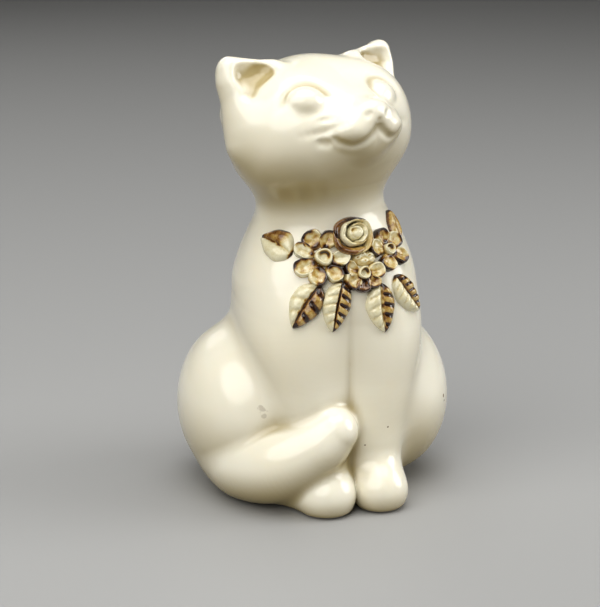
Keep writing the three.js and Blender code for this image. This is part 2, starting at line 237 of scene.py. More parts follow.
# The eyes are blank round swellings on the front of the head, the cat's right one first.
# Each: middle as x and z, half width and height, tilt in degrees, how far it stands out.
EYES = [
    ((-26.0, 9.0), (8.9, 6.8), 14, 3.0),
    ((18.8, 7.6), (7.8, 7.0), -8, 2.4),
]
EYE_DEPTH = 6  # half of an eye's thickness, most of it in the head
EYE_BLEND = 1.6
# Grooves pressed into the face, as x, z on the front of the head.
# Each: path, width, and its depth at the start, in the middle and at the end.
FACE_GROOVES = [
    ([(-38.5, 5.4), (-36.2, 9), (-32.6, 13.2), (-27.6, 16.2), (-21.5, 16.8), (-17, 14), (-15, 10.4)],
     2.2, (0.3, 1.8, 1.3)),
    ([(-21, 17.2), (-16.5, 15)], 2.8, (0.3, 0.6, 0.3)),
    ([(-34, 2), (-28, 0.6), (-20, 2)], 2.2, (0.1, 0.3, 0.1)),
    ([(11, 5), (11.2, 10.5), (14, 14.6), (19, 15.6), (24.5, 12.6), (28, 8.5)], 1.9, (0.6, 1.4, 0.4)),
    ([(12.5, 1.5), (17, 0), (23, 1)], 2.2, (0.1, 0.3, 0.1)),
    ([(-0.6, -10.6), (-3.6, -13.8), (-7.6, -16.2), (-12.2, -17), (-16.8, -15), (-19, -13)],
     1.9, (1.5, 1.6, 0.8)),
    ([(0.4, -10.6), (3.6, -13.6), (7.4, -15.8), (11.4, -15.6), (14.6, -12.6)], 1.7, (1.5, 1.5, 0.6)),
    ([(-0.2, -7.6), (-0.2, -10.6)], 1.2, (0.8, 1.0, 1.0)),
    ([(-21.5, -13.6), (-25, -12.4)], 2.0, (0.8, 0.9, 0.4)),
    ([(-14, -5.8), (-22, -7.8), (-32, -8.2)], 1.8, (0.2, 0.7, 0.2)),
    ([(-18, -2.8), (-24.5, -2.4)], 1.3, (0.2, 0.5, 0.2)),
    ([(15, -6.2), (22, -7.8), (29, -8)], 1.8, (0.3, 0.75, 0.2)),
    ([(-6.4, -4.8), (-5.2, -4.2)], 1.4, (1.2, 1.2, 1.2)),
    ([(4.8, -4.8), (6, -4.2)], 1.3, (1.1, 1.1, 1.1)),
]
GROOVE_STEPS = 4
GROOVE_REACH = 26  # no groove reaches farther than this from its middle
# The part of the head where the face is, in the head's axes, and how thick a skin the face can change.
FACE_FRONT, FACE_LOW, FACE_HIGH, FACE_SKIN = -8, -26, 28, 8
FACE_REACH = 60  # the face lies within this of the head's centre


def ear(side):
    d = sheet(side, *EAR) - EAR_THICKNESS
    d = blend(d, bar(side, *EAR_ROOT), EAR_ROOT_BLEND)
    return blend(d, bar(side, *EAR_BACK), EAR_BACK_BLEND)


def ear_hollow(side):
    """Distance from the dished hollow of an ear, which narrows towards its lower end."""
    narrower = EAR_HOLLOW_NARROWS * step_up(EAR_HOLLOW_TOP - side[:, 2], 0, EAR_HOLLOW_TAPER)
    return sheet(side, *EAR_HOLLOW) - EAR_HOLLOW_RADIUS + narrower


def plain_head(q):
    """The head without its eyes and grooves, in its own axes."""
    side = mirrored(q)
    d = egg(q, *SKULL)
    d = blend(d, egg(q, *CHEEKS), CHEEKS_BLEND)
    d = blend(d, egg(side, *TEMPLE), TEMPLE_BLEND)
    d = blend(d, egg(q, *MUZZLE), MUZZLE_BLEND)
    d = blend(d, egg(side, *WHISKER_PAD), WHISKER_PAD_BLEND)
    d = blend(d, egg(q, *CHIN), CHIN_BLEND)
    softer_lower_down = 7 + 4 * step_up(-side[:, 2], -26, -8)
    d = blend(d, ear(side), softer_lower_down)
    d = keep(d, -ear_hollow(side), EAR_HOLLOW_RIM)
    return blend(d, egg(q, *NOSE), NOSE_BLEND)


def on_face(places):
    """Where rows of x and z meet the front of the head, found by walking up to it from in front."""
    before_the_nose, walks, careful = -75, 80, 0.7
    q = np.array([(x, before_the_nose, z) for x, z in places], float)
    for _ in range(walks):
        q[:, 1] += careful * plain_head(q)
    return q


def eye_frames():
    """Each eye's middle, its across, outward and up directions as columns, and its radii along them."""
    frames = []
    for middle, (half_width, half_height), tilt, rise in EYES:
        at = on_face([middle])
        steps = np.eye(3) * 0.5
        normal = np.array([plain_head(at + step) - plain_head(at - step) for step in steps]).ravel()
        normal /= np.linalg.norm(normal)
        across = np.cross(normal, (0, 0, 1))
        across /= -np.linalg.norm(across)
        up = np.cross(across, normal)
        c, s = math.cos(math.radians(tilt)), math.sin(math.radians(tilt))
        axes = np.stack([across * c + up * s, normal, up * c - across * s], 1)
        frames.append((at[0] - normal * (EYE_DEPTH - rise), axes, (half_width, EYE_DEPTH, half_height)))
    return frames


def face_grooves():
    """Each groove's route on the head, its width, and the depth of every stretch of it."""
    grooves = []
    for path, width, (start, middle, end) in FACE_GROOVES:
        route = on_face(smooth_route(path, GROOVE_STEPS))
        along = np.linspace(0, 1, len(route) - 1)
        grooves.append((route, width, np.interp(along, (0, 0.3, 0.7, 1), (start, middle, middle, end))))
    return grooves


EYE_FRAMES = eye_frames()
GROOVES = face_grooves()


def groove_depth(q):
    """How deep the grooves are pressed at points near the front of the head."""
    cut = np.zeros(len(q))
    for route, width, depths in GROOVES:
        near = np.linalg.norm(q - route.mean(0), axis=1) < GROOVE_REACH
        stretches = zip(depths, route, route[1:])
        pressed = [depth * bell(bar(q[near], a, b, 0, 0), width) for depth, a, b in stretches]
        cut[near] = np.maximum(cut[near], np.max(pressed, axis=0))
    return cut


def face(q):
    """The front of the head, with the eyes raised and the grooves pressed in."""
    d = plain_head(q) + groove_depth(q)
    for middle, axes, radii in EYE_FRAMES:
        d = blend(d, egg((q - middle) @ axes, (0, 0, 0), radii), EYE_BLEND)
    return d


def head(p):
    q = (p - HEAD_CENTRE) @ HEAD_AXES
    d = plain_head(q)
    front = (q[:, 1] < FACE_FRONT) & (q[:, 2] < FACE_HIGH) & (q[:, 2] > FACE_LOW) & (np.abs(d) < FACE_SKIN)
    d[front] = face(q[front])
    return d


def trunk(p):
    d = blend(bar(p, *TORSO), bar(p, *NECK), NECK_BLEND)
    return blend(d, egg(p, *SHOULDER), SHOULDER_BLEND)


def forelegs(p):
    legs = limb(mirrored(p, FORELEG_MIDDLE), FORELEG)
    return blend(legs, bar(mirrored(p - PAW_MIDDLE), *PAW), PAW_BLEND)


def haunches(p):
    return egg(mirrored(p), *HAUNCH)


def hind_foot(p):
    return bar(p, *HIND_FOOT)


def tail(p):
    return limb(p, TAIL)


# What is blended onto the trunk, in this order: the volume, the low and high corners of a box that
# holds it with room to spare, and how wide it blends in.
PARTS = [
    (forelegs, (-60, -80, -20), (65, 30, 145), 14),
    (haunches, (-90, -60, -20), (90, 80, 100), 10),
    (hind_foot, (-90, -80, -20), (30, 30, 50), 8),
    (tail, (-80, -80, -20), (45, 80, 72), 4),
    (head, (-80, -90, 126), (80, 80, 250), 16),
]


def skin(p):
    """The outside of the whole cat: negative inside, zero on the glaze."""
    d = trunk(p)
    for volume, low, high, width in PARTS:
        d = blend(d, where_near(p, low, high, volume), width)
    return keep(d, -p[:, 2], BASE_EDGE)


def clay(p):
    """The skin with the pour hole through the base and the chamber that it opens into."""
    hollow = blend(egg(p, *CHAMBER), bar(p, *POUR_HOLE), HOLE_BLEND)
    return keep(skin(p), -hollow, HOLE_RIM)


WORKERS = ThreadPoolExecutor(4)
BATCH = 40000  # points that a thread takes at a time


def shared_out(field, p):
    """The field at many points, worked out by several threads."""
    batches = [p[i:i + BATCH] for i in range(0, len(p), BATCH)]
    return np.concatenate(list(WORKERS.map(field, batches)))


def slope(field, p, step=0.05):
    """The field's gradient and its value."""
    value = shared_out(field, p)
    gradient = np.empty_like(p)
    for k in range(3):
        ahead = p.copy()
        ahead[:, k] += step
        gradient[:, k] = (shared_out(field, ahead) - value) / step
    return gradient, value


def settle(p, rounds, reach=FAR, field=skin):
    """Points moved onto the field's zero surface, by no more than the reach in each round."""
    for _ in range(rounds):
        gradient, value = slope(field, p)
        move = value[:, None] * gradient / np.maximum((gradient**2).sum(1), 0.05)[:, None]
        length = np.linalg.norm(move, axis=1, keepdims=True)
        p = p - move * np.minimum(1, reach / np.maximum(length, 1e-9))
    return p


def normals(p, field=skin):
    """The field's outward direction at each point."""
    gradient, _ = slope(field, p, 0.3)
    return gradient / np.linalg.norm(gradient, axis=1, keepdims=True)


# ---------------------------------------------------------------- surface nets

def ticks(*stretches):
    """Grid lines from (start, end, step) stretches laid end to end."""
    lines = [np.linspace(a, b, math.ceil((b - a) / h), endpoint=False) for a, b, h in stretches]
    return np.concatenate(lines + [[stretches[-1][1]]])


SKIP = 4  # grid lines between those of the first rough pass
BAND_MARGIN = 1.5  # how far the soft volumes' distances may be off near the surface


def grid_values(field, axes):
    """The field on a grid, worked out in full only near the surface."""
    coarse = [np.unique(np.append(axis[::SKIP], axis[-1])) for axis in axes]
    size = tuple(len(axis) for axis in coarse)
    rough = shared_out(field, np.stack(np.meshgrid(*coarse, indexing="ij"), -1).reshape(-1, 3)).reshape(size)
    nearest = [np.abs(a[:, None] - c[None]).argmin(1) for a, c in zip(axes, coarse)]
    value = rough[np.ix_(*nearest)]
    band = 0.5 * math.sqrt(sum(np.diff(c).max() ** 2 for c in coarse)) + BAND_MARGIN
    close = np.argwhere(np.abs(value) < band)
    points = np.stack([axis[close[:, k]] for k, axis in enumerate(axes)], 1)
    value[tuple(close.T)] = shared_out(field, points)
    return value


def surface_net(field, axes):
    """Vertices and quads of the field's zero surface: one vertex in each grid cell that it crosses."""
    value = grid_values(field, axes)
    cells = tuple(n - 1 for n in value.shape)
    total = np.zeros(cells + (3,))
    hits = np.zeros(cells)
    for k in range(3):
        m, n = [j for j in range(3) if j != k]
        a = value.take(range(value.shape[k] - 1), k)
        b = value.take(range(1, value.shape[k]), k)
        crossed = (a < 0) != (b < 0)
        share = np.where(crossed, a / np.where(a == b, 1, a - b), 0)
        for dm in (0, 1):
            for dn in (0, 1):
                part = [slice(None)] * 3
                part[m] = slice(dm, cells[m] + dm)
                part[n] = slice(dn, cells[n] + dn)
                here = crossed[tuple(part)]
                hits += here
                total[..., k] += here * share[tuple(part)]
                total[..., m] += here * dm
                total[..., n] += here * dn
    used = np.argwhere(hits > 0)
    index = np.full(cells, -1)
    index[tuple(used.T)] = np.arange(len(used))
    offset = total[tuple(used.T)] / hits[tuple(used.T)][:, None]
    vertices = np.stack([
        axis[used[:, k]] + offset[:, k] * np.diff(axis)[used[:, k]] for k, axis in enumerate(axes)
    ], 1)
    quads = []
    for k in range(3):
        m, n = (k + 1) % 3, (k + 2) % 3
        a = value.take(range(value.shape[k] - 1), k)
        b = value.take(range(1, value.shape[k]), k)
        edge = np.argwhere((a < 0) != (b < 0))
        inner = (edge[:, m] > 0) & (edge[:, n] > 0) & (edge[:, m] < cells[m]) & (edge[:, n] < cells[n])
        edge = edge[inner]
        corners = []
        for dm, dn in ((1, 1), (0, 1), (0, 0), (1, 0)):
            cell = edge.copy()
            cell[:, m] -= dm
            cell[:, n] -= dn
            corners.append(index[tuple(cell.T)])
        quad = np.stack(corners, 1)
        outwards = a[tuple(edge.T)] < 0
        quad[~outwards] = quad[~outwards][:, ::-1]
        quads.append(quad)
    return vertices, np.concatenate(quads)


# ---------------------------------------------------------------- meshes

def make_object(name, vertices, faces, material, node, slot, **attributes):
    """Adds a smooth-shaded mesh that rides on the figurine and stands for its CAD node."""
    mesh = bpy.data.meshes.new(name)
    mesh.from_pydata((vertices * MM).tolist(), [], faces)
    mesh.validate()
    for key, values in attributes.items():
        layer = mesh.attributes.new(key, "FLOAT", "POINT")
        layer.data.foreach_set("value", values.astype(np.float32))
    mesh.polygons.foreach_set("use_smooth", [True] * len(mesh.polygons))
    mesh.materials.append(material)
    piece = bpy.data.objects.new(name, mesh)
    bpy.context.scene.collection.objects.link(piece)
    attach(piece, "root")
    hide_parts(node)


def hollowness(vertices, quads, rounds):
    """How deep each vertex lies below its smoothed surroundings, in mm: positive in creases."""
    pairs = np.vstack([quads[:, (i, (i + 1) % 4)] for i in range(4)])
    pairs = np.vstack([pairs, pairs[:, ::-1]])
    count = np.bincount(pairs[:, 0], minlength=len(vertices))

    def smoothed(values, times):
        for _ in range(times):
            values = np.bincount(pairs[:, 0], values[pairs[:, 1]], len(vertices)) / count
        return values

    average = np.stack([smoothed(vertices[:, k], rounds) for k in range(3)], 1)
    depth = ((average - vertices) * normals(vertices, clay)).sum(1)
    return smoothed(depth, 5)


def ear_pool_and_shade(vertices):
    """How darkly to tint the hollow of either ear, most on its inner side: partly glaze that runs into it,
    partly painted shade.
    """
    side = mirrored((vertices - HEAD_CENTRE) @ HEAD_AXES)
    inside = step_up(0.8 - ear_hollow(side), 0, 1.6)
    return inside * (0.5 + 0.9 * step_up(-side[:, 0], -42, -33))


def groove_pool_and_shade(vertices):
    """The depth of the face's grooves, which darkens them: partly thicker glaze in them, partly painted
    shade.
    """
    q = (vertices - HEAD_CENTRE) @ HEAD_AXES
    depth = np.zeros(len(q))
    front = (q[:, 1] < FACE_FRONT) & (q[:, 2] < FACE_HIGH) & (np.linalg.norm(q, axis=1) < FACE_REACH)
    depth[front] = groove_depth(q[front])
    return depth


def make_body(material):
    coarser = 1
    fine, middling, plain = 0.85 * coarser, 1.15 * coarser, 1.25 * coarser
    axes = [
        ticks((-76, -24, middling), (-24, 48, fine), (48, 76, middling)),
        ticks((-64, -10, fine), (-10, 72, plain)),
        ticks((-3.2, 144, plain), (144, 228, fine)),
    ]
    vertices, quads = surface_net(clay, axes)
    vertices = settle(vertices, 2, 0.6, clay)
    bare = step_up(-vertices[:, 2], -1.6, -0.7)
    # The tone is darker in creases, ear hollows and face grooves: partly glaze gathering there, partly
    # painted shade.
    crease = hollowness(vertices, quads, 60 // coarser**2)
    crease += 2 * ear_pool_and_shade(vertices) + 0.7 * groove_pool_and_shade(vertices)
    make_object("ceramic_body", vertices, quads.tolist(), material, "body_shell", "ivory_glaze",
                crease=crease, bare=bare)


# ---------------------------------------------------------------- clay pieces pressed onto the skin

SINK = 0.5  # an applied piece is bedded this deep, where slip and glaze fill the joint
CHANCE = np.random.default_rng(7)  # the petals' lean


class Seat:
    """Where an ornament sits: a point on the skin, the direction across it, and the direction up it."""

    def __init__(self, at, across, up):
        self.at, self.across, self.up = at, across, up

    @classmethod
    def under(cls, *nodes):
        """The seat under the middle of the CAD nodes' box."""
        corners = np.array([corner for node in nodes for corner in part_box(node)])
        middle = (corners.min(0) + corners.max(0)) / 2 / MM
        at = settle(middle[None], 4)
        normal = normals(at)[0]
        across = np.cross((0, 0, 1), normal)
        across /= np.linalg.norm(across)
        return cls(at[0], across, np.cross(normal, across))

    def turned(self, degrees):
        """The same seat turned clockwise in its own plane."""
        c, s = math.cos(math.radians(degrees)), math.sin(math.radians(degrees))
        return Seat(self.at, self.across * c - self.up * s, self.up * c + self.across * s)

    def bearing(self, node):
        """The direction and the distance from this seat to a CAD node, along the skin."""
        low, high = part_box(node)
        away = np.array((low + high) / 2) / MM - self.at
        x, y = away @ self.across, away @ self.up
        return math.degrees(math.atan2(x, y)), math.hypot(x, y)

    def press(self, flat):
        """Lays points (across, up, height off the skin) onto the skin."""
        spread = self.at + flat[:, :1] * self.across + flat[:, 1:2] * self.up
        laid = settle(spread, 3)
        return laid + normals(laid) * flat[:, 2:]


def ring_faces(rings, around, first):
    """Quads between rings of vertices laid one after another, from the index first on."""
    faces = []
    for i in range(rings - 1):
        for j in range(around):
            k = (j + 1) % around
            a, b = first + i * around, first + (i + 1) * around
            faces.append((a + j, b + j, b + k, a + k))
    return faces


UNDERSIDE_RINGS = (0.97, 0.6)  # shares of the rim's radius


def pat(form, around, rings):
    """A closed pat of clay. form(x, y, r) places the points of a unit disc as across, up and height,
    and says how much iron glaze lies there. The underside is bedded in the skin."""
    share = np.sin(np.arange(1, rings + 1) / rings * math.pi / 2)
    share = np.append(share, UNDERSIDE_RINGS)
    angle = np.arange(around) / around * 2 * math.pi
    r = np.append(0.0, np.repeat(share, around))
    x = np.append(0.0, np.outer(share, np.sin(angle)).ravel())
    y = np.append(0.0, np.outer(share, np.cos(angle)).ravel())
    flat, iron = form(x, y, r)
    under = len(r) - 2 * around
    flat[under:, 2] = -SINK
    faces = ring_faces(len(share), around, 1)
    flat = np.vstack([flat, (*flat[0, :2], -SINK)])
    iron = np.append(iron, 0)
    last = len(flat) - 1
    edge = last - around
    for j in range(around):
        k = (j + 1) % around
        faces.append((0, 1 + j, 1 + k))
        faces.append((last, edge + k, edge + j))
    return flat, [f[::-1] for f in faces], iron


def add_clay(node, seat, shape, material, slot):
    """Adds a flat clay shape, pressed onto the skin at its seat."""
    flat, faces, iron = shape
    make_object("glazed_" + node, seat.press(flat), faces, material, node, slot, iron=iron)


def ripple(x, y, seed, size=1.0):
    """A soft hand-made unevenness, different for each seed, between about -1 and 1."""
    a, b, c = np.random.default_rng(seed).uniform(0, 2 * math.pi, 3)
    x, y = x / size, y / size
    return (np.sin(2.1 * x + a) + np.sin(2.7 * y + b) + np.sin(1.7 * (x + y) + c)) / 3


WHOLE_LENGTH = -2  # a brushed_from before the stem, so that the brown runs the whole length
# How each leaf points, in degrees clockwise from straight up, its length, width and height, the pitch
# of its ribs (0 for none), which half is brushed brown, how far the brown creeps over the midrib, and
# the iron on the brown half between the ribs and in them. The brown starts at brushed_from on the way
# from the stem at -1 to the tip at 1.
LEAVES = {
    "leaf_upper_right": {"turn": -74, "size": (21.5, 15.5, 3.2), "pitch": 0, "brown": 1, "creep": 0.04,
                         "iron": (0.66, 0.1), "brushed_from": -0.35},
    "leaf_upper_left": {"turn": 24, "size": (17, 9, 3.2), "pitch": 0, "brown": 1, "creep": 1.2,
                        "iron": (0.42, 0.5)},
    "leaf_lower_1": {"turn": -148, "size": (25, 15.5, 3.6), "pitch": 6.2, "brown": -1, "creep": 0.14,
                     "iron": (0.5, 0.42)},
    "leaf_lower_2": {"turn": -165, "size": (25, 14.5, 3.6), "pitch": 4.1, "brown": -1, "creep": 0.1,
                     "iron": (0.4, 0.85)},
    "leaf_lower_3": {"turn": 178, "size": (24.5, 15, 3.6), "pitch": 4.8, "brown": -1, "creep": -0.06,
                     "iron": (0.5, 0.6)},
    "leaf_lower_4": {"turn": 149, "size": (24, 14, 3.6), "pitch": 3.7, "brown": -1, "creep": 0.0,
                     "iron": (0.42, 0.6)},
}


def leaf_form(leaf, seed):
    length, width, height = leaf["size"]
    plain, ribbed = leaf["iron"]
    brown, creep, pitch = leaf["brown"], leaf["creep"], leaf["pitch"]
    brushed_from = leaf.get("brushed_from", WHOLE_LENGTH)

    def form(x, y, r):
        outline = (1 - 0.26 * y) * np.maximum(1 - y * y, 0) ** 0.22 * (1 + 0.02 * np.sin(9 * y + seed))
        bend = 0.06 * width * (1 - y * y)
        across = x * outline * width / 2 + bend
        along = y * length / 2
        half = np.where(np.abs(y) < 1, x / np.sqrt(np.maximum(1 - y * y, 1e-6)), 0)
        edge = np.maximum(1 - r**5, 0) ** 0.5
        pillow = 0.7 + 0.3 * np.sin(math.pi * np.clip(np.abs(half), 0, 1))
        midrib = bell(half, 0.09) * step_up(-y, -0.9, -0.4)
        top = height * edge * pillow - 0.9 * midrib * edge
        valley = np.zeros(len(x))
        if pitch:
            run = (along - 0.4 * np.abs(half) * width / 2) / pitch + 0.05 * ripple(across, along, seed, 3)
            valley = (0.5 - 0.5 * np.cos(2 * math.pi * run)) ** 3
            valley *= step_up(np.abs(half), 0.06, 0.22) * step_up(r, 0.99, 0.84)
            top -= 0.6 * valley * edge
        top += 0.14 * ripple(across, along, seed, 2.5) * edge
        brushed = step_up(half * brown + creep + 0.07 * ripple(across, along, seed + 50, 1.5), -0.05, 0.06)
        brushed *= step_up(y, brushed_from - 0.2, brushed_from + 0.2)
        dark = ribbed * step_up(valley, 0.05, 0.55) + 0.4 * step_up(r, 0.86, 1.0)
        dark += 0.55 * step_up(y, 0.7, 0.95)
        dark += 0.9 * ribbed * bell(half, 0.08) + 0.5 * step_up(-y, 0.62, 0.95)
        pale = 0.02 + 0.15 * valley + 0.3 * bell(half, 0.05) + 0.9 * step_up(-y, 0.84, 0.97)
        amount = brushed * (plain + dark + 0.14 * ripple(across, along, seed + 9, 2)) + (1 - brushed) * pale
        return np.stack([across, along, top], 1), amount

    return form


def make_leaves(material):
    for number, (node, leaf) in enumerate(LEAVES.items()):
        form = leaf_form(leaf, 11 + number)
        seat = Seat.under(node).turned(leaf["turn"])
        add_clay(node, seat, pat(form, 96, 34), material, "brown_glaze")


# Each flower's cup radius and height, then its petals: length, width, the iron in the middle, and
# the side where the brush left most of it, in degrees clockwise from the tip.
FLOWERS = {
    "right_flower": {"cup": (4.4, 4.6), "petals": [
        (10.4, 12.2, 0.36, -35), (11.4, 9.4, 0.1, 75), (12.4, 10.6, 0.3, 70), (10.6, 11.0, 0.42, -75),
        (10.0, 9.6, 0.38, -110), (10.4, 9.6, 0.4, -20), (10.8, 9.4, 0.04, 150)]},
    "middle_flower": {"cup": (3.2, 4.2), "petals": [
        (8.6, 8.8, 0.34, -20), (9.4, 10.4, 0.3, -40), (7.6, 9.0, 0.75, 0), (8.0, 8.0, 0.55, 60),
        (9.4, 9.4, 0.26, 100)]},
    "left_flower": {"cup": (3.1, 4.1), "petals": [
        (10.0, 10.2, 0.26, -60), (9.4, 8.8, 0.5, 0), (9.0, 10.0, 0.34, 60), (9.8, 9.4, 0.46, 60),
        (9.8, 10.8, 0.36, 40)]},
}


def petal_form(distance, petal, seed):
    """A thumbed petal whose middle is at the given distance from the flower's."""
    length, width, middle, brushed = petal
    lean = CHANCE.uniform(-0.08, 0.08)
    side = math.radians(brushed)

    def form(x, y, r):
        angle = np.arctan2(x, y)
        wavy = 1 + 0.04 * np.sin(3 * angle + seed) + 0.035 * np.sin(5 * angle + 2 * seed)
        flare = (0.9 + 0.16 * y) * wavy
        across = x * flare * width / 2 + lean * y * width
        along = distance + y * length / 2
        edge = np.maximum(1 - r**7, 0) ** 0.5
        rim = bell(r - 0.83, 0.13) * step_up(y, -0.7, 0.1)
        dish = 1 - step_up(r, 0.2, 0.8)
        top = edge * (2.7 + 1.2 * rim - 0.7 * dish + 0.9 * y)
        top += 0.1 * ripple(across, along, seed, 1.6) * edge - 0.35 * bell(x + 0.1 * lean, 0.12) * dish
        stroke = step_up(np.cos(angle - side), 0.0, 0.8) * step_up(r, 0.5, 0.82)
        uneven = 0.5 + 0.5 * np.sin(2 * angle + seed)
        # The root of the petal by the cup is darker: partly glaze gathering there, partly painted shade in
        # the crevice.
        root = bell(np.hypot(x * 0.7, y + 0.75), 0.28)
        dark = 0.75 * stroke + 0.3 * uneven * step_up(r, 0.92, 1.0) + 0.7 * root
        iron = middle + dark + 0.22 * ripple(across, along, seed + 5, 1.4) - 0.32 * rim * (1 - stroke)
        return np.stack([across, along, np.maximum(top, 0)], 1), iron

    return form


def cup_form(size, seed):
    """The raised cup in the middle of a flower, with a glassy pool in it."""
    radius, height = size

    def form(x, y, r):
        lumpy = 1 + 0.06 * np.sin(3 * np.arctan2(x, y) + seed)
        wall = np.maximum(1 - r**8, 0) ** 0.5
        bowl = step_up(r, 0.3, 0.8)
        top = height * wall * (0.42 + 0.58 * bowl)
        # Dark iron along the upper side of the cup's inner wall: partly glaze gathering in the cup, partly
        # painted shade in the hollow.
        inside = bell(r - 0.5, 0.16)
        iron = 0.06 + 1.05 * inside * step_up(y + 0.5 * x, -0.3, 0.4)
        iron += 0.5 * step_up(r, 0.88, 1) * step_up(-y - x, -0.2, 0.6) + 0.1 * ripple(x, y, seed, 0.4)
        return np.stack([x * radius * lumpy, y * radius * lumpy, top], 1), iron

    return form


def make_flowers(petal_glaze, cup_glaze):
    for name, flower in FLOWERS.items():
        cup = name + "_cup"
        seat = Seat.under(cup)
        seed = len(name)
        add_clay(cup, seat, pat(cup_form(flower["cup"], seed), 48, 18), cup_glaze, "cream_glaze")
        for i, petal in enumerate(flower["petals"]):
            node = f"{name}_petal_{i + 1}"
            turn, distance = seat.bearing(node)
            shape = pat(petal_form(distance, petal, seed + 3 * i), 56, 18)
            add_clay(node, seat.turned(turn), shape, petal_glaze, "brown_glaze")


def blossom_form(x, y, r):
    """A spray of small pricked buds, run together by the glaze."""
    buds = ((-0.62, 0.1), (-0.2, 0.45), (-0.1, -0.4), (0.3, 0.15), (0.66, 0.3), (0.55, -0.4))
    height = sum(bell(np.hypot(x - bx, y - by), 0.26) for bx, by in buds)
    pricks = sum(bell(np.hypot(x - bx, y - by), 0.08) for bx, by in buds)
    edge = np.maximum(1 - r**6, 0) ** 0.5
    top = edge * (1.9 + 1.4 * np.minimum(height, 1.1) - 0.9 * pricks)
    iron = 0.03 + 0.9 * pricks + 0.35 * step_up(-height, -0.6, -0.3) + 0.1 * ripple(x, y, 3, 0.3)
    half_width, half_height = 6.4, 3.9
    return np.stack([x * half_width, y * half_height, np.maximum(top, 0)], 1), iron


# Each wrap of the rose: radius at the foot, flare at the lip, height, clay thickness, from and to
# in degrees clockwise from straight up, and the iron brushed on it.
ROSE_WRAPS = {
    "rose_inner_petal_1": (4.2, 0.3, 6.6, 2.7, -30, 200, 0.02),
    "rose_inner_petal_2": (5.9, 0.5, 6.1, 2.9, 130, 405, 0.06),
    "rose_outer_petal_1": (7.6, 1.5, 5.6, 4.2, -105, 45, 0.72),
    "rose_outer_petal_2": (7.6, 1.3, 5.6, 2.6, 20, 165, 0.14),
    "rose_outer_petal_3": (7.7, 1.3, 5.2, 4.2, 140, 290, 0.5),
}
ROSE_LEAN = (1.0, 1.1)  # the core and the inner petals sit off the middle of the rose
ROSE_CORE_RADIUS = 3.9
WRAP_STEPS = 64
WRAP_SECTION = 20  # points round the wall's section
WRAP_SPIRAL = 0.9  # how much farther out a wrap ends than it starts


def wrap_shape(foot, flare, height, thickness, start, end, brushed, seed):
    """A petal of the rose: a rounded wall swept along a spiral, thinned to nothing at both ends."""
    turn = np.radians(np.linspace(start, end, WRAP_STEPS))
    share = np.linspace(0, 1, WRAP_STEPS)
    ends = np.maximum(np.sin(share * math.pi), 0.0) ** 0.35
    loop = np.arange(WRAP_SECTION) / WRAP_SECTION * 2 * math.pi
    up, out = 0.5 - 0.5 * np.cos(loop), np.sin(loop)
    points, iron = [], []
    for angle, size, s in zip(turn, ends, share):
        tall = height * (0.75 + 0.25 * size) + 0.35 * math.sin(5 * angle + seed)
        level = up * (tall + SINK) - SINK
        radius = foot + WRAP_SPIRAL * (s - 0.5) + flare * up**1.6
        radius = radius + out * thickness / 2 * size * (1.15 - 0.3 * up)
        radius += 0.24 * math.sin(3 * angle + 2 * seed) + 0.14 * math.sin(7 * angle + seed)
        points.append(np.stack([radius * math.sin(angle), radius * math.cos(angle), level], 1))
        # Brushed iron and a darker lip, plus a darker outer face low down under the flared lip: partly glaze
        # at the foot, partly painted shade.
        shade = brushed + 0.55 * step_up(out, 0.0, 1) * step_up(1 - up, 0.35, 0.8) + 0.2 * bell(up - 1, 0.1)
        iron.append(shade + 0.14 * math.sin(7 * s + seed))
    points, iron = np.concatenate(points), np.concatenate(iron)
    faces = ring_faces(WRAP_STEPS, WRAP_SECTION, 0)
    faces.append(tuple(range(WRAP_SECTION))[::-1])
    faces.append(tuple(range(len(points) - WRAP_SECTION, len(points))))
    return points, [f[::-1] for f in faces], iron


def rose_core_form(x, y, r):
    """The rolled-up middle, with a spiral line pressed into it and a hollow at its upper side."""
    angle = np.arctan2(x, y)
    edge = np.maximum(1 - r**6, 0) ** 0.5
    coil = bell(np.mod(angle / (2 * math.pi) + 1.3 * r, 1) - 0.5, 0.16) * step_up(r, 0.1, 0.35)
    pit = bell(np.hypot(x + 0.35, y - 0.4), 0.32)
    top = edge * (6.4 - 0.8 * coil - 1.6 * pit - 0.4 * r + 0.2 * ripple(x, y, 4, 0.5))
    place = [x * ROSE_CORE_RADIUS + ROSE_LEAN[0], y * ROSE_CORE_RADIUS + ROSE_LEAN[1], top]
    # Iron lies in the spiral line; the hollow is darkened as well: partly glaze gathering there, partly
    # painted shade.
    return np.stack(place, 1), 0.02 + 0.2 * coil + 0.4 * pit


def make_rose(petal_glaze, cup_glaze):
    seat = Seat.under(*[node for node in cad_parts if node.startswith("rose_")])
    add_clay("rose_core", seat, pat(rose_core_form, 48, 18), cup_glaze, "cream_glaze")
    for number, (node, wrap) in enumerate(ROSE_WRAPS.items()):
        inner = "inner" in node
        glaze, slot = (cup_glaze, "cream_glaze") if inner else (petal_glaze, "brown_glaze")
        flat, faces, iron = wrap_shape(*wrap, seed=number)
        if inner:
            flat[:, :2] += ROSE_LEAN
        add_clay(node, seat, (flat, faces, iron), glaze, slot)


# ---------------------------------------------------------------- glazes

